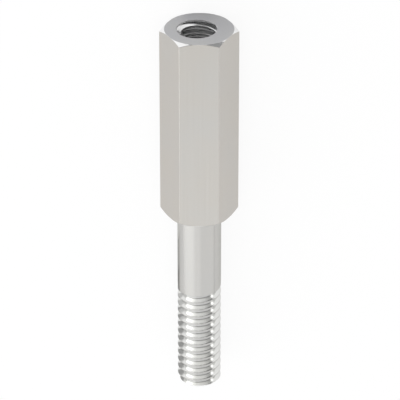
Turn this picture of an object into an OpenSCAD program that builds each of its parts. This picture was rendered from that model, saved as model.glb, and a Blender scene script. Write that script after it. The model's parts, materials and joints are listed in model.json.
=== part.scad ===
// Male-female hex standoff, machined in one piece from hexagon bar: a blind
// tapped hole in one end and a part-threaded stud on the other.
// The axis lies along X with the stud towards +X and the shoulder at X = 0.
// One flat faces down, the way the standoff lies on a bench.

/* [Hexagon body] */
// Width across the flats
hex_af = 6.35; // [5.5:0.05:12]
// Length from the end face to the shoulder
body_len = 19.05; // [14:0.05:50]
// How far the corners are turned back at each end, measured radially
corner_cut = 0.46; // [0.1:0.02:0.7]
// Angle between the corner chamfers and the end faces
corner_angle = 30; // [15:1:45]

/* [Tapped hole] */
// Diameter of the hole, which is the minor diameter of its thread
hole_d = 3.31; // [2:0.01:4.2]
// Depth of the hole's full diameter
hole_depth = 11.1; // [4:0.1:16]
// Included angle of the drill point at the hole's bottom
drill_angle = 118; // [90:1:140]

/* [Stud] */
// Diameter of the plain shank
shank_d = 4.14; // [3:0.01:5]
// Length from the shoulder to the tip
stud_len = 19.05; // [14:0.05:40]
// Length of the plain shank between the shoulder and the thread
shank_len = 7.94; // [1:0.01:12]
// Diameter of the flat end of the tip
tip_d = 3; // [1:0.05:3.8]
// Angle between the tip's chamfer and its flat end
tip_angle = 45; // [30:1:60]

/* [Stud thread] */
// Threads per inch
threads_per_inch = 32; // [24:1:48]
// How far the crests lie below the shank's surface
crest_relief = 0.01; // [0.005:0.005:0.1]
// Included angle of the thread's flanks
flank_angle = 60; // [55:1:60]
// Width of a crest as a share of the pitch
crest_share = 0.125; // [0.08:0.005:0.2]
// Width of a root as a share of the pitch
root_share = 0.25; // [0.1:0.01:0.3]
// Angle over which the groove runs out to the surface
runout_angle = 80; // [30:10:120]
// Place of the groove's run-out round the axis
runout_clock = 255; // [0:5:355]

/* [Hidden] */
metal = [0.79, 0.78, 0.76];
inch = 25.4;
// Facets of a thread turn, and of the true circles on screen
turn_facets = 36;
round_facets = 96;
// Room by which cutting forms pass the surface that they cut
past = 1;

hex_corner_r = hex_af / 2 / cos(30);
face_r = hex_corner_r - corner_cut;
shank_r = shank_d / 2;
hole_r = hole_d / 2;
tip_r = tip_d / 2;

pitch = inch / threads_per_inch;
crest_r = shank_r - crest_relief;
// Half widths of the groove at the crests and at its root
mouth_half = pitch * (1 - crest_share) / 2;
root_half = pitch * root_share / 2;
thread_depth = (mouth_half - root_half) / tan(flank_angle / 2);
// The groove's steps along the helix: it deepens over the run-out, and goes on past the tip
runout_steps = round(turn_facets * runout_angle / 360);
step_rise = pitch / turn_facets;
groove_start = shank_len + crest_relief + mouth_half - runout_steps * step_rise;
groove_steps = ceil((stud_len + pitch - groove_start) / step_rise);
// The threaded rod reaches from inside the shank to past the tip
rod_start = shank_len - pitch / 2;
rod_end = groove_start + groove_steps * step_rise + pitch;

// A radius and a height turned to a place on the helix's step i
function at_step(i, r, z) = [
    r * cos(runout_clock + 360 * i / turn_facets),
    r * sin(runout_clock + 360 * i / turn_facets),
    z
];

// Share of the groove's full depth at step i, from none where it starts
function groove_share(i) = min(1, i / runout_steps);

// Corners of the groove's section at step i: upper edge, upper root, lower root, lower edge
function groove_section(i) = let (
    z = groove_start + i * step_rise,
    share = groove_share(i),
    root_r = crest_r - share * thread_depth
) [
    at_step(i, crest_r, z - share * mouth_half),
    at_step(i, root_r, z - share * root_half),
    at_step(i, root_r, z + share * root_half),
    at_step(i, crest_r, z + share * mouth_half)
];

// Both halves of a four-sided face, since the thread's flanks are slightly twisted
function halves(a, b, c, d) = [[a, b, c], [a, c, d]];

// A rod with a helical groove cut into it, as one closed surface
module threaded_rod() {
    n = turn_facets;
    last = groove_steps;
    top = [for (i = [0 : n - 1]) at_step(i, crest_r, rod_start)];
    bottom = [for (i = [0 : n - 1]) at_step(i, crest_r, rod_end)];
    start = [at_step(0, crest_r, groove_start)];
    sections = [for (i = [1 : last]) each groove_section(i)];

    // Where each corner stands in the list of points: the groove starts from a single point
    function top_at(i) = i % n;
    function bottom_at(i) = n + i % n;
    function groove_at(i, k) = i == 0 ? 2 * n : 2 * n + 1 + 4 * (i - 1) + k;
    upper = 0;
    lower = 3;

    points = concat(top, bottom, start, sections);
    faces = concat(
        [[for (i = [0 : n - 1]) top_at(i)]],
        [[for (i = [n - 1 : -1 : 0]) bottom_at(i)]],
        // the point where the groove starts
        [for (k = [0 : 2]) [groove_at(0, 0), groove_at(1, k), groove_at(1, k + 1)]],
        // flanks and root
        [
            for (i = [1 : last - 1], k = [0 : 2])
                each halves(
                    groove_at(i, k), groove_at(i + 1, k),
                    groove_at(i + 1, k + 1), groove_at(i, k + 1)
                )
        ],
        // the wall that closes the groove, past the tip
        [[for (k = [0 : 3]) groove_at(last, k)]],
        // the surface above the first turn of the groove
        [
            for (i = [0 : n - 2])
                [top_at(i), top_at(i + 1), groove_at(i + 1, upper), groove_at(i, upper)]
        ],
        [[top_at(n - 1), top_at(0), groove_at(0, 0), groove_at(n, upper), groove_at(n - 1, upper)]],
        // crests between one turn of the groove and the next
        [
            for (i = [0 : last - n - 1])
                [
                    groove_at(i, lower), groove_at(i + 1, lower),
                    groove_at(i + 1 + n, upper), groove_at(i + n, upper)
                ]
        ],
        // the surface below the last turn
        [
            [
                groove_at(last - n, lower), groove_at(last - n + 1, lower),
                bottom_at(last + 1), bottom_at(last), groove_at(last, lower), groove_at(last, upper)
            ]
        ],
        [
            for (i = [last - n + 1 : last - 1])
                [groove_at(i, lower), groove_at(i + 1, lower), bottom_at(i + 1), bottom_at(i)]
        ]
    );
    polyhedron(points, faces, convexity = 10);
}

// The stud's outer form at the tip: a chamfer down to the flat end
module tip_form() {
    outer_r = shank_r + past;
    chamfer_h = (outer_r - tip_r) * tan(tip_angle);
    rotate_extrude($fn = round_facets)
        polygon([
            [0, 0],
            [outer_r, 0],
            [outer_r, stud_len - chamfer_h],
            [tip_r, stud_len],
            [0, stud_len]
        ]);
}

// Plain shank with the thread after it, standing on the shoulder
module stud() {
    translate([0, 0, -past])
        cylinder(h = shank_len + past, r = shank_r, $fn = round_facets);
    intersection() {
        threaded_rod();
        tip_form();
    }
}

// Hexagon bar with its corners turned down at both ends
module hex_bar() {
    outer_r = hex_corner_r + past;
    chamfer_h = (outer_r - face_r) * tan(corner_angle);
    intersection() {
        translate([0, 0, -body_len])
            rotate([0, 0, 30])
                cylinder(h = body_len, r = hex_corner_r, $fn = 6);
        rotate_extrude($fn = round_facets)
            polygon([
                [0, -body_len],
                [face_r, -body_len],
                [outer_r, chamfer_h - body_len],
                [outer_r, -chamfer_h],
                [face_r, 0],
                [0, 0]
            ]);
    }
}

// The drilled hole with its drill point, open at the end face
module drilled_hole() {
    point_h = hole_r / tan(drill_angle / 2);
    translate([0, 0, -body_len])
        rotate_extrude($fn = round_facets)
            polygon([
                [0, -past],
                [hole_r, -past],
                [hole_r, hole_depth],
                [0, hole_depth + point_h]
            ]);
}

module hex_standoff() {
    color(metal)
        rotate([0, 90, 0])
            difference() {
                union() {
                    hex_bar();
                    stud();
                }
                drilled_hole();
            }
}

hex_standoff();
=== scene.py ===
"""A male-female hex standoff lying on a pale floor, in metres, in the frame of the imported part."""

import json
import math

import bmesh
import bpy
import numpy as np
from mathutils import Matrix, Vector


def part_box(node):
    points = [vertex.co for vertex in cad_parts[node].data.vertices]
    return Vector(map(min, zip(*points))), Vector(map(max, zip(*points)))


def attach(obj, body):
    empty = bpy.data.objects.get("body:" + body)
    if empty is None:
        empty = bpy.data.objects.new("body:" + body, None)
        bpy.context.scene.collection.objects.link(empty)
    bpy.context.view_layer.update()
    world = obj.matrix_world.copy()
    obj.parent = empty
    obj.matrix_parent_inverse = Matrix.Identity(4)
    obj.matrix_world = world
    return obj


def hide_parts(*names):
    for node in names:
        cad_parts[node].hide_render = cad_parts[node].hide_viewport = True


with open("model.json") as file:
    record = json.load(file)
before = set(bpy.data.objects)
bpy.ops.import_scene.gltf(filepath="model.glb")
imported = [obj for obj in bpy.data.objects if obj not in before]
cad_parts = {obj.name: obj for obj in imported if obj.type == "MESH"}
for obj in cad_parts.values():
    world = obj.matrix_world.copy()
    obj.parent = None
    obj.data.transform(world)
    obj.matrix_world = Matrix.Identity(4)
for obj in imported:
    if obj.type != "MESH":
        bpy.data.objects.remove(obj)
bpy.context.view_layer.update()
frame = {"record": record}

MM = 0.001
MICRON = 0.001 * MM
INCH = 25.4 * MM
NODE = "hex_standoff"

# ---------------------------------------------------------------- sizes, from the frame where it has them
low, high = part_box(NODE)
mounts = {m["name"]: m["dims"] for m in frame["record"]["mounts"]}

BODY_LEN = -low.x
STUD_LEN = high.x
HALF_FLATS = high.z
FLOOR_Z = low.z
HOLE_R = mounts["tapped_hole"]["r_mm"] * MM
HOLE_DEPTH = mounts["tapped_hole"]["length_mm"] * MM
SHANK_R = mounts["shank"]["r_mm"] * MM
SHANK_LEN = mounts["shank"]["length_mm"] * MM
CREST_R = mounts["stud_thread"]["r_mm"] * MM

# Degrees round the axis that one side of the hexagon takes
SIDE = 60
HALF_SIDE = SIDE // 2
HEX_CORNER_R = HALF_FLATS / math.cos(math.radians(HALF_SIDE))
# The long edges of the hexagon are rounded, about centres this far from the axis
HEX_EDGE_R = 0.05 * MM
HEX_EDGE_CENTRE = (HALF_FLATS - HEX_EDGE_R) / math.cos(math.radians(HALF_SIDE))
# How far the corners are turned back at each end, and at what angle to the end faces
CORNER_CUT = 0.46 * MM
CORNER_ANGLE = 30
FACE_R = HEX_CORNER_R - CORNER_CUT
# A ring on the end face, clear of the thread's mouth, from which the face runs flat to its rim
MOUTH_RING_R = 2.3 * MM
DRILL_ANGLE = 118
TIP_R = 1.5 * MM
TIP_ANGLE = 45

PITCH = INCH / 32
FLANK_ANGLE = 60
# Widths of crest and root as shares of the pitch
STUD_CREST, STUD_ROOT = 0.125, 0.25
HOLE_CREST, HOLE_ROOT = 0.25, 0.125
STUD_DEPTH = PITCH * (1 - STUD_CREST - STUD_ROOT) / 2 / math.tan(math.radians(FLANK_ANGLE / 2))
HOLE_THREAD_LEN = 9.5 * MM
# Places round the axis, in degrees from -Z towards +Y: where the stud's groove starts, and where the middle
# of the hole's groove meets the end face
STUD_START = 255
HOLE_MOUTH = 260
# Degrees over which each groove comes to its full depth
STUD_RUNOUT = 80
HOLE_RUNOUT = 720

# How far each kind of edge is eased
THREAD_EASE = 0.012 * MM
ROOT_EASE = 0.03 * MM
EDGE_EASE = 0.02 * MM
# How far a rounding, and the border beside it, may reach from an edge: in eases, and as a share of the
# surface that they lie on
ROUNDING_REACH = (1, 0.4)
BORDER_REACH = (3, 0.45)
# Lengths below this count as none
TINY = 1e-15

# Degrees between the columns of the mesh
COLUMN_STEP = 2.5
# The mesh is made in millimetres: points this near are one, and edges this short go
WELD = 2e-4
SLIVER = 1e-5
# Bends in degrees from which an edge is shaded as a sharp one
SHARP_BEND = 36
SHARP_BETWEEN_FINISHES = 12

# The surfaces that have a finish of their own. Their base colours also hold painted light and shade: the
# same metal is lighter on some and darker on others.
HOLE, FACE, CHAMFER, FLAT, SHANK, THREAD = range(6)


# ---------------------------------------------------------------- the section, at every angle at once
def column_angles():
    """Angles round the axis, with extra ones on the rounded edges of the hexagon."""
    tangent_x = HEX_EDGE_CENTRE + HEX_EDGE_R * math.cos(math.radians(HALF_SIDE))
    tangent_y = HEX_EDGE_R * math.sin(math.radians(HALF_SIDE))
    reach = math.degrees(math.atan2(tangent_y, tangent_x))
    plain = [a for a in np.arange(0, 360, COLUMN_STEP) if a % SIDE != HALF_SIDE]
    edges = [corner + reach * k / 2 for corner in range(HALF_SIDE, 360, SIDE) for k in range(-2, 3)]
    return np.array(sorted(plain + edges) + [360.0])


def hexagon_radius(angles):
    """Distance from the axis to the hexagon with rounded edges."""
    flat = HALF_FLATS / np.cos(np.radians((angles + HALF_SIDE) % SIDE - HALF_SIDE))
    off_corner = np.radians(angles % SIDE - HALF_SIDE)
    across = HEX_EDGE_CENTRE * np.sin(off_corner)
    arc = HEX_EDGE_CENTRE * np.cos(off_corner) + np.sqrt(np.maximum(HEX_EDGE_R**2 - across**2, 0))
    return np.where(np.abs(across) < HEX_EDGE_R, np.minimum(flat, arc), flat)


def point(x, r, angles):
    """One point of the section at every angle, as rows of (x, r)."""
    columns = [np.broadcast_to(value, angles.shape) for value in (x, r)]
    return np.stack(columns, axis=1).astype(float)


def reaches(here, other, ease):
    """Steps from one point towards the next: to the end of a rounding, and to the border beside it."""
    away = other - here
    length = np.linalg.norm(away, axis=1, keepdims=True)
    return [
        away * np.minimum(ease * eases, share * length) / np.maximum(length, TINY)
        for eases, share in (ROUNDING_REACH, BORDER_REACH)
    ]


def eased(corners, borders=False):
    """Rounds the corners of a section line. Each corner is (point, ease, finish of the surface after it).

    The finish is one index, or one for every angle. Borders are further rows beside each rounding, which
    keep the shading of the broad surfaces flat right up to it.
    """
    line = []
    for i, (here, ease, finish) in enumerate(corners):
        if ease is None:
            line.append((here, finish))
            continue
        before, after = (
            [here + reach for reach in reaches(here, corners[k][0], ease)] for k in (i - 1, i + 1)
        )
        rows = [before[0], (before[0] + 2 * here + after[0]) / 4, after[0]]
        if borders:
            rows = [before[1], *rows, after[1]]
        half = len(rows) // 2
        line += [(row, corners[i - 1][2]) for row in rows[:half]] + [(row, finish) for row in rows[half:]]
    return line


def clipped(line, outside):
    """Cuts each stretch of a line where it goes outside. What is cut away shrinks to its last kept point."""
    last = line[0][0]
    out = []
    for (a, finish), (b, _) in zip(line, line[1:]):
        da, db = outside(a)[:, None], outside(b)[:, None]
        gap = np.where(np.abs(da - db) > TINY, da - db, 1.0)
        crossing = a + (b - a) * np.clip(da / gap, 0, 1)
        gone = (da > 0) & (db > 0)
        start = np.where(gone, last, np.where(da > 0, crossing, a))
        end = np.where(gone, last, np.where(db > 0, crossing, b))
        last = end
        out += [(start, finish), (end, finish)]
    return out


def groove(centre, share, wall_r, inward, crest, root, angles):
    """One turn of a thread groove: edge, root, root, edge. inward is -1 on the stud and 1 in the hole."""
    mouth_half = PITCH * (1 - crest) / 2 * share
    root_half = PITCH * root / 2 * share
    depth = (mouth_half - root_half) / math.tan(math.radians(FLANK_ANGLE / 2))
    root_r = wall_r + inward * depth
    return [
        (point(centre - mouth_half, wall_r, angles), (THREAD_EASE * share)[:, None]),
        (point(centre - root_half, root_r, angles), (ROOT_EASE * share)[:, None]),
        (point(centre + root_half, root_r, angles), (ROOT_EASE * share)[:, None]),
        (point(centre + mouth_half, wall_r, angles), (THREAD_EASE * share)[:, None]),
    ]


def hole_line(angles):
    """From the drill point on the axis, along the wall with its thread, to the mouth."""
    floor_x = HOLE_DEPTH - BODY_LEN
    apex_x = floor_x + HOLE_R / math.tan(math.radians(DRILL_ANGLE / 2))
    wall_end = point(floor_x, HOLE_R, angles)
    corners = [(point(apex_x, 0, angles), None, HOLE), (wall_end, None, HOLE)]
    # The groove's turns from the deepest to one past the mouth
    turns = math.ceil(HOLE_THREAD_LEN / PITCH) + 1
    for k in range(turns, -2, -1):
        along = k + (angles - HOLE_MOUTH) / 360
        centre = along * PITCH - BODY_LEN
        share = np.clip((HOLE_THREAD_LEN / PITCH - along) * 360 / HOLE_RUNOUT, 0, 1)
        turn = groove(centre, share, HOLE_R, 1, HOLE_CREST, HOLE_ROOT, angles)
        for corner, ease in reversed(turn):
            corners.append((np.where(share[:, None] > 0, corner, wall_end), ease, HOLE))
    corners.append((point(-BODY_LEN - PITCH, HOLE_R, angles), None, HOLE))
    line = clipped(eased(corners), lambda p: -BODY_LEN - p[:, 0])
    return line + [(line[-1][0], FACE)]


def body_line(angles):
    """From the mouth over the end face and along the hexagon to the foot of the shank."""
    hex_r = hexagon_radius(angles)
    rim_r = np.minimum(FACE_R, hex_r)
    cone = (hex_r - rim_r) * math.tan(math.radians(CORNER_ANGLE))
    corners = [
        (point(-BODY_LEN, MOUTH_RING_R, angles), None, FACE),
        (point(-BODY_LEN, rim_r, angles), EDGE_EASE, CHAMFER),
        (point(cone - BODY_LEN, hex_r, angles), EDGE_EASE, FLAT),
        (point(-cone, hex_r, angles), EDGE_EASE, CHAMFER),
        (point(0, rim_r, angles), EDGE_EASE, FACE),
        (point(0, SHANK_R, angles), EDGE_EASE, SHANK),
        (point(SHANK_LEN / 2, SHANK_R, angles), None, SHANK),
    ]
    return eased(corners, borders=True)


def stud_line(angles):
    """From the shank along the thread to the middle of the tip."""
    start = point(SHANK_LEN, CREST_R, angles)
    corners = [(point(SHANK_LEN, SHANK_R, angles), None, SHANK), (start, None, SHANK)]
    mouth_half = PITCH * (1 - STUD_CREST) / 2
    first = SHANK_LEN + (SHANK_R - CREST_R) + mouth_half - PITCH * STUD_RUNOUT / 360
    turns = math.ceil((STUD_LEN - first) / PITCH) + 1
    for k in range(-1, turns):
        turned = k * 360 + angles - STUD_START
        share = np.clip(turned / STUD_RUNOUT, 0, 1)
        turn = groove(first + PITCH * turned / 360, share, CREST_R, -1, STUD_CREST, STUD_ROOT, angles)
        cut = np.where(turned >= 0, THREAD, SHANK)
        for (corner, ease), finish in zip(turn, (cut, cut, cut, SHANK)):
            corners.append((np.where(turned[:, None] >= 0, corner, start), ease, finish))
    corners.append((point(STUD_LEN + 2 * PITCH, CREST_R, angles), None, SHANK))
    slope = math.tan(math.radians(TIP_ANGLE))
    line = clipped(eased(corners), lambda p: p[:, 0] + (p[:, 1] - TIP_R) * slope - STUD_LEN)
    tip = [
        (line[-1][0], None, CHAMFER),
        (point(STUD_LEN, TIP_R, angles), EDGE_EASE, FACE),
        (point(STUD_LEN, 0, angles), None, FACE),
    ]
    return line + eased(tip, borders=True)


# ---------------------------------------------------------------- the mesh
def turned_mesh():
    """The section turned round X, in millimetres. Faces carry the index of their finish."""
    angles = column_angles()
    rows, finishes = zip(*hole_line(angles), *body_line(angles), *stud_line(angles))
    a = np.radians(angles)
    grid = np.array([np.stack([p[:, 0], p[:, 1] * np.sin(a), -p[:, 1] * np.cos(a)], axis=1) for p in rows])
    count = len(angles)
    corner = np.arange(len(rows) * count).reshape(len(rows), count)
    quads = np.stack([corner[:-1, :-1], corner[:-1, 1:], corner[1:, 1:], corner[1:, :-1]], axis=-1)
    mesh = bpy.data.meshes.new("standoff")
    mesh.from_pydata((grid.reshape(-1, 3) / MM).tolist(), [], quads.reshape(-1, 4).tolist())
    finish_of = [np.broadcast_to(finish, angles.shape)[:-1] for finish in finishes[:-1]]
    mesh.polygons.foreach_set("material_index", np.concatenate(finish_of).astype(np.int32))
    return mesh


def close_and_smooth(mesh):
    """Welds the turned mesh into one closed surface and marks its sharp edges."""
    bm = bmesh.new()
    bm.from_mesh(mesh)
    bmesh.ops.remove_doubles(bm, verts=bm.verts, dist=WELD)
    bmesh.ops.dissolve_degenerate(bm, edges=bm.edges, dist=SLIVER)
    bmesh.ops.recalc_face_normals(bm, faces=bm.faces)
    for edge in bm.edges:
        one, other = edge.link_faces
        limit = SHARP_BEND if one.material_index == other.material_index else SHARP_BETWEEN_FINISHES
        edge.smooth = one.normal.angle(other.normal, 0) < math.radians(limit)
    for face in bm.faces:
        face.smooth = True
    bm.to_mesh(mesh)
    bm.free()


def standoff_mesh():
    """The mesh in metres, shaded so that broad faces stay flat up to the rounded edges beside them.

    The modifier that does this is applied in millimetres, because in metres it takes faces as small as these
    for equals.
    """
    mesh_in_mm = turned_mesh()
    close_and_smooth(mesh_in_mm)
    large = bpy.data.objects.new("large_standoff", mesh_in_mm)
    bpy.context.scene.collection.objects.link(large)
    weighted = large.modifiers.new("weighted_normals", "WEIGHTED_NORMAL")
    weighted.keep_sharp = True
    shaded = large.evaluated_get(bpy.context.evaluated_depsgraph_get())
    mesh = bpy.data.meshes.new_from_object(shaded)
    mesh.transform(Matrix.Scale(MM, 4))
    bpy.data.objects.remove(large)
    return mesh


# ---------------------------------------------------------------- materials
# Values between which most of a noise texture lies
NOISE_LOW, NOISE_HIGH = 0.3, 0.7
# The tint drifts in patches of a few millimetres
DRIFT_GRAIN = 0.25
# Share to which coordinates are squeezed along the axis, so that spots come out as long lines
DRAWN_SQUEEZE = 0.02
# How far tool lines change a roughness, as a share of it
LINE_CONTRAST = 0.08
# The hole's roughness near its mouth as a share, and the depths between which that ends
MOUTH_POLISH = 0.55
POLISH_DEPTHS = (0.5 * MM, 1.2 * MM)
# Painted shade at the root of the stud's thread: the colour there as a share, and the height over which that
# ends
PAINTED_ROOT_SHADE = 0.66
PAINTED_SHADE_HEIGHT = 0.15 * MM


def add_math(tree, operation, first, second=None):
    """A Math node. Each operand is a socket or a number."""
    node = tree.nodes.new("ShaderNodeMath")
    node.operation = operation
    for socket, value in zip(node.inputs, (first, second)):
        if isinstance(value, bpy.types.NodeSocket):
            tree.links.new(value, socket)
        elif value is not None:
            socket.default_value = value
    return node.outputs[0]


def add_ramp(tree, value, start, end, first, last, shape="SMOOTHSTEP"):
    """Goes from first to last while a value goes from start to end, and stays there beyond."""
    ramp = tree.nodes.new("ShaderNodeMapRange")
    ramp.interpolation_type = shape
    tree.links.new(value, ramp.inputs["Value"])
    ramp.inputs["From Min"].default_value = start
    ramp.inputs["From Max"].default_value = end
    ramp.inputs["To Min"].default_value = first
    ramp.inputs["To Max"].default_value = last
    return ramp.outputs["Result"]


def add_noise(tree, vector, grain, detail):
    """Noise with about as many grains to a millimetre as grain says."""
    noise = tree.nodes.new("ShaderNodeTexNoise")
    noise.inputs["Scale"].default_value = grain / MM
    noise.inputs["Detail"].default_value = detail
    tree.links.new(vector, noise.inputs["Vector"])
    return noise.outputs["Fac"]


def split(tree, vector):
    """The X, Y and Z of a vector."""
    node = tree.nodes.new("ShaderNodeSeparateXYZ")
    tree.links.new(vector, node.inputs[0])
    return node.outputs


def radius_at(tree, place):
    """How far a place lies from the axis."""
    parts = split(tree, place)
    y_squared = add_math(tree, "MULTIPLY", parts["Y"], parts["Y"])
    z_squared = add_math(tree, "MULTIPLY", parts["Z"], parts["Z"])
    return add_math(tree, "SQRT", add_math(tree, "ADD", y_squared, z_squared))


def drawing_lines(tree, place):
    """Coordinates for the lines that a drawing die leaves, squeezed along the axis."""
    squeeze = tree.nodes.new("ShaderNodeVectorMath")
    squeeze.operation = "MULTIPLY"
    squeeze.inputs[1].default_value = (DRAWN_SQUEEZE, 1, 1)
    tree.links.new(place, squeeze.inputs[0])
    return squeeze.outputs[0]


def turning_lines(tree, place):
    """Coordinates for the lines that a lathe leaves: the place along the axis and the radius."""
    join = tree.nodes.new("ShaderNodeCombineXYZ")
    tree.links.new(split(tree, place)["X"], join.inputs["X"])
    tree.links.new(radius_at(tree, place), join.inputs["Y"])
    return join.outputs[0]


def drifting_tint(tree, place, warm, cool):
    """A colour that drifts between two over the surface."""
    drift = add_noise(tree, place, DRIFT_GRAIN, detail=2)
    tint = tree.nodes.new("ShaderNodeMix")
    tint.data_type = "RGBA"
    tree.links.new(add_ramp(tree, drift, NOISE_LOW, NOISE_HIGH, 0, 1, "LINEAR"), tint.inputs["Factor"])
    tint.inputs["A"].default_value = (*warm, 1)
    tint.inputs["B"].default_value = (*cool, 1)
    return tint.outputs["Result"]


def painted_root_shade(tree, place, colour):
    """Paints shade into a colour, darker towards the root of the stud's thread, where the groove lies in
    shade.
    """
    root_r = CREST_R - STUD_DEPTH
    shade = tree.nodes.new("ShaderNodeVectorMath")
    shade.operation = "SCALE"
    tree.links.new(colour, shade.inputs[0])
    height = add_ramp(tree, radius_at(tree, place), root_r, root_r + PAINTED_SHADE_HEIGHT, PAINTED_ROOT_SHADE, 1)
    tree.links.new(height, shade.inputs["Scale"])
    return shade.outputs[0]


def polished_mouth(tree, place, roughness):
    """Lowers a roughness near the mouth of the hole."""
    start, end = (depth - BODY_LEN for depth in POLISH_DEPTHS)
    polish = add_ramp(tree, split(tree, place)["X"], start, end, MOUTH_POLISH, 1)
    return add_math(tree, "MULTIPLY", roughness, polish)


def metal(
    name, warm, cool, roughness, lines, line_grain, line_depth, edge_tint=(1, 1, 1), shade=None, polish=None
):
    """Machined metal with a drifting tint, and with fine tool lines in its bump and roughness.

    lines makes the lines' coordinates. shade paints shade into the colour over the surface, and polish
    changes the roughness.
    """
    material = bpy.data.materials.new(name)
    material.use_nodes = True
    tree = material.node_tree
    shader = tree.nodes["Principled BSDF"]
    shader.inputs["Metallic"].default_value = 1
    shader.inputs["Specular Tint"].default_value = (*edge_tint, 1)
    place = tree.nodes.new("ShaderNodeTexCoord").outputs["Object"]

    colour = drifting_tint(tree, place, warm, cool)
    if shade:
        colour = shade(tree, place, colour)
    tree.links.new(colour, shader.inputs["Base Color"])

    line = add_noise(tree, lines(tree, place), line_grain, detail=3)
    spread = LINE_CONTRAST * roughness
    rough = add_ramp(tree, line, NOISE_LOW, NOISE_HIGH, roughness - spread, roughness + spread, "LINEAR")
    if polish:
        rough = polish(tree, place, rough)
    tree.links.new(rough, shader.inputs["Roughness"])

    bump = tree.nodes.new("ShaderNodeBump")
    bump.inputs["Strength"].default_value = 1
    bump.inputs["Distance"].default_value = line_depth
    tree.links.new(line, bump.inputs["Height"])
    tree.links.new(bump.outputs["Normal"], shader.inputs["Normal"])
    return material


def make_metals():
    """One finish for each surface, in the order of their indices. The roughness and tool lines are the
    finishes' own, but the base colours are partly painted light and shade: lighter on the chamfers, the hole
    and the stud's thread, and darker on the end face, for one and the same metal.
    """
    return [
        metal(
            "hole_thread", warm=(0.92, 0.92, 0.91), cool=(0.92, 0.92, 0.93), roughness=0.32,
            lines=turning_lines, line_grain=9, line_depth=0.6 * MICRON, polish=polished_mouth,
        ),
        metal(
            "turned_face", warm=(0.465, 0.465, 0.465), cool=(0.455, 0.455, 0.47), roughness=0.2,
            lines=turning_lines, line_grain=7, line_depth=0.6 * MICRON,
        ),
        metal(
            "turned_chamfer", warm=(0.91, 0.91, 0.9), cool=(0.9, 0.9, 0.91), roughness=0.14,
            lines=turning_lines, line_grain=9, line_depth=0.4 * MICRON,
        ),
        metal(
            "drawn_flat", warm=(0.545, 0.525, 0.492), cool=(0.537, 0.525, 0.502), roughness=0.22,
            lines=drawing_lines, line_grain=5, line_depth=0.35 * MICRON, edge_tint=(0.9, 0.86, 0.83),
        ),
        metal(
            "turned_shank", warm=(0.54, 0.53, 0.51), cool=(0.53, 0.525, 0.51), roughness=0.2,
            lines=turning_lines, line_grain=7, line_depth=0.6 * MICRON, edge_tint=(0.8, 0.8, 0.78),
        ),
        # The stud's thread has painted shade in its colour, darker towards the root of the groove
        metal(
            "stud_thread", warm=(0.78, 0.78, 0.76), cool=(0.77, 0.77, 0.76), roughness=0.15,
            lines=turning_lines, line_grain=9, line_depth=0.6 * MICRON, shade=painted_root_shade,
        ),
    ]


def make_standoff():
    mesh = standoff_mesh()
    for finish in make_metals():
        mesh.materials.append(finish)
    standoff = bpy.data.objects.new("standoff", mesh)
    bpy.context.scene.collection.objects.link(standoff)
    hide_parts(NODE)
    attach(standoff, "root")


# ---------------------------------------------------------------- camera, floor and world
# Degrees between the camera's line of sight and straight down
VIEW_TILT = 30.3
VIEW_DISTANCE = 307 * MM
VIEW_CENTRE = Vector((-0.99 * MM, 0.0686 * MM, 0))
FOCAL_PX = 3270
IMAGE_PX = 400
SENSOR_MM = 36

FLOOR_SIZE = 2.0
FLOOR_WHITE = 0.95
# Share of the floor that shows as plain white, seen directly and in the metal
GLOW_SEEN = 0.88
GLOW_MIRRORED = 0.2
WORLD_LIGHT = 0.55


def make_camera():
    """Looks down on the standoff from past its hole, with the hole at the top of the picture."""
    tilt = math.radians(VIEW_TILT)
    forward = Vector((math.sin(tilt), 0, -math.cos(tilt)))
    up = Vector((-math.cos(tilt), 0, -math.sin(tilt)))
    right = forward.cross(up)
    data = bpy.data.cameras.new("camera")
    data.sensor_width = SENSOR_MM
    data.lens = FOCAL_PX * SENSOR_MM / IMAGE_PX
    data.clip_start = 0.01
    data.clip_end = 10
    camera = bpy.data.objects.new("camera", data)
    turn = Matrix((right, up, -forward)).transposed().to_4x4()
    camera.matrix_world = Matrix.Translation(VIEW_CENTRE - forward * VIEW_DISTANCE) @ turn
    bpy.context.scene.collection.objects.link(camera)
    bpy.context.scene.camera = camera


def glow_share(tree):
    """How much of the floor is plain white to a ray: none of it for light that falls on things."""
    path = tree.nodes.new("ShaderNodeLightPath").outputs
    seen = add_math(tree, "MULTIPLY", path["Is Camera Ray"], GLOW_SEEN)
    mirrored = add_math(tree, "MAXIMUM", path["Is Glossy Ray"], path["Is Transmission Ray"])
    mirrored = add_math(tree, "MULTIPLY", mirrored, GLOW_MIRRORED)
    return add_math(tree, "MAXIMUM", seen, mirrored)


def floor_material():
    """White paint that keeps part of the shadow where it is seen directly."""
    material = bpy.data.materials.new("pale_floor")
    material.use_nodes = True
    tree = material.node_tree
    tree.nodes.clear()
    paint = tree.nodes.new("ShaderNodeBsdfDiffuse")
    paint.inputs["Color"].default_value = (FLOOR_WHITE, FLOOR_WHITE, FLOOR_WHITE, 1)
    white = tree.nodes.new("ShaderNodeEmission")
    white.inputs["Color"].default_value = (1, 1, 1, 1)
    white.inputs["Strength"].default_value = 1
    mix = tree.nodes.new("ShaderNodeMixShader")
    tree.links.new(glow_share(tree), mix.inputs["Fac"])
    tree.links.new(paint.outputs[0], mix.inputs[1])
    tree.links.new(white.outputs[0], mix.inputs[2])
    tree.links.new(mix.outputs[0], tree.nodes.new("ShaderNodeOutputMaterial").inputs["Surface"])
    return material


def make_floor():
    mesh = bpy.data.meshes.new("floor")
    bm = bmesh.new()
    bmesh.ops.create_grid(bm, x_segments=8, y_segments=8, size=FLOOR_SIZE / 2)
    bm.to_mesh(mesh)
    bm.free()
    mesh.materials.append(floor_material())
    floor = bpy.data.objects.new("floor", mesh)
    floor.location.z = FLOOR_Z
    bpy.context.scene.collection.objects.link(floor)


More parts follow.
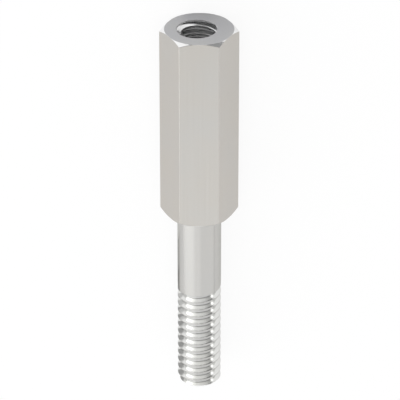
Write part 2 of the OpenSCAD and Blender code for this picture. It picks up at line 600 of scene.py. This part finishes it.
def make_world():
    world = bpy.data.worlds.new("studio")
    bpy.context.scene.world = world
    world.use_nodes = True
    background = world.node_tree.nodes["Background"]
    background.inputs["Color"].default_value = (1, 1, 1, 1)
    background.inputs["Strength"].default_value = WORLD_LIGHT


# ---------------------------------------------------------------- lamps and cards
LAMP_DISTANCE = 300 * MM


def fade_lamp(data, ends):
    """Softens a lamp's ends. At each, the light rises from none to full between two shares of its height."""
    data.use_nodes = True
    tree = data.node_tree
    up_the_lamp = split(tree, tree.nodes.new("ShaderNodeNewGeometry").outputs["Parametric"])["Y"]
    strength = 1
    for none_at, full_at in ends:
        strength = add_math(tree, "MULTIPLY", add_ramp(tree, up_the_lamp, none_at, full_at, 0, 1), strength)
    tree.links.new(strength, tree.nodes["Emission"].inputs["Strength"])


def make_softbox(name, turn, half_height, aside, half_width, radiance, soft_ends=(), mirrored=True):
    """A lamp placed by where the shank shows it. All angles are in degrees.

    A mirror wrapped round X sends the main camera's view out along a curve. turn is the place on that
    curve, from straight up towards the right, and aside is how far the lamp stands off the curve. One that
    isn't mirrored lights the floor and is not seen in the metal.
    """
    tilt, turn, aside = (math.radians(angle) for angle in (VIEW_TILT, turn, aside))
    on_curve = Vector((math.sin(tilt), math.cos(tilt) * math.sin(turn), math.cos(tilt) * math.cos(turn)))
    upward = Vector((0, -math.cos(turn), math.sin(turn)))
    towards = on_curve * math.cos(aside) + upward.cross(on_curve) * math.sin(aside)
    data = bpy.data.lights.new(name, "AREA")
    data.shape = "RECTANGLE"
    data.size = 2 * LAMP_DISTANCE * math.tan(math.radians(half_width))
    data.size_y = 2 * LAMP_DISTANCE * math.tan(math.radians(half_height))
    data.energy = radiance * math.pi * data.size * data.size_y
    if soft_ends:
        fade_lamp(data, soft_ends)
    softbox = bpy.data.objects.new(name, data)
    axes = Matrix((upward.cross(towards), upward, towards)).transposed().to_4x4()
    softbox.matrix_world = Matrix.Translation(towards * LAMP_DISTANCE) @ axes
    softbox.visible_camera = False
    softbox.visible_glossy = mirrored
    bpy.context.scene.collection.objects.link(softbox)


def make_lamps():
    """Two long softboxes, two brighter ones for the thread, and one that only lights the floor."""
    make_softbox(
        "left_softbox", turn=-38.5, half_height=46.5, aside=-2, half_width=13, radiance=0.77,
        soft_ends=[(0, 0.5)],
    )
    make_softbox(
        "top_softbox", turn=38, half_height=53, aside=-5, half_width=13, radiance=0.53,
        soft_ends=[(0, 0.3), (0.96, 0.61)],
    )
    make_softbox("left_key", turn=-59, half_height=35, aside=20, half_width=14, radiance=1.5)
    make_softbox("right_key", turn=84, half_height=9, aside=27, half_width=16, radiance=1.7)
    make_softbox(
        "floor_softbox", turn=0, half_height=20, aside=45, half_width=20, radiance=1.95, mirrored=False
    )


def card_material(name, grey):
    material = bpy.data.materials.new(name)
    material.use_nodes = True
    shader = material.node_tree.nodes["Principled BSDF"]
    shader.inputs["Base Color"].default_value = (grey, grey, grey, 1)
    shader.inputs["Roughness"].default_value = 1
    shader.inputs["Specular IOR Level"].default_value = 0
    return material


def make_card(name, x, y, z, grey):
    """A flat grey card that only the metal shows, so that it darkens part of what the metal mirrors.

    x, y and z are where it begins and ends in millimetres, with z from the floor up. Two of them are spans,
    and the third is one place.
    """
    x_low, x_high = (MM * value for value in x)
    y_low, y_high = (MM * value for value in y)
    z_low, z_high = (FLOOR_Z + MM * value for value in z)
    upright = z_low < z_high
    second = (x_low, y_high, z_low) if upright else (x_high, y_low, z_low)
    fourth = (x_low, y_low, z_high) if upright else (x_low, y_high, z_low)
    mesh = bpy.data.meshes.new(name)
    mesh.from_pydata([(x_low, y_low, z_low), second, (x_high, y_high, z_high), fourth], [], [(0, 1, 2, 3)])
    mesh.materials.append(card_material(name, grey))
    card = bpy.data.objects.new(name, mesh)
    card.visible_camera = False
    card.visible_diffuse = False
    card.visible_shadow = False
    bpy.context.scene.collection.objects.link(card)


def make_cards():
    """One before the hole, two on the floor left of the stud, and one right of the hexagon's hole end."""
    make_card("hole_flag", x=(-32, -32), y=(-4, 25), z=(0, 13), grey=0.32)
    make_card("pale_flag", x=(5.5, 9), y=(-6.5, -3.6), z=(0.1, 0.1), grey=0.6)
    make_card("stud_flag", x=(9, 24), y=(-6.5, -3.6), z=(0.1, 0.1), grey=0.36)
    make_card("side_flag", x=(-18, -18), y=(8, 30), z=(0, 8.5), grey=0.25)


make_standoff()
make_camera()
make_floor()
make_world()
make_lamps()
make_cards()

bpy.context.scene.view_settings.view_transform = "Standard"
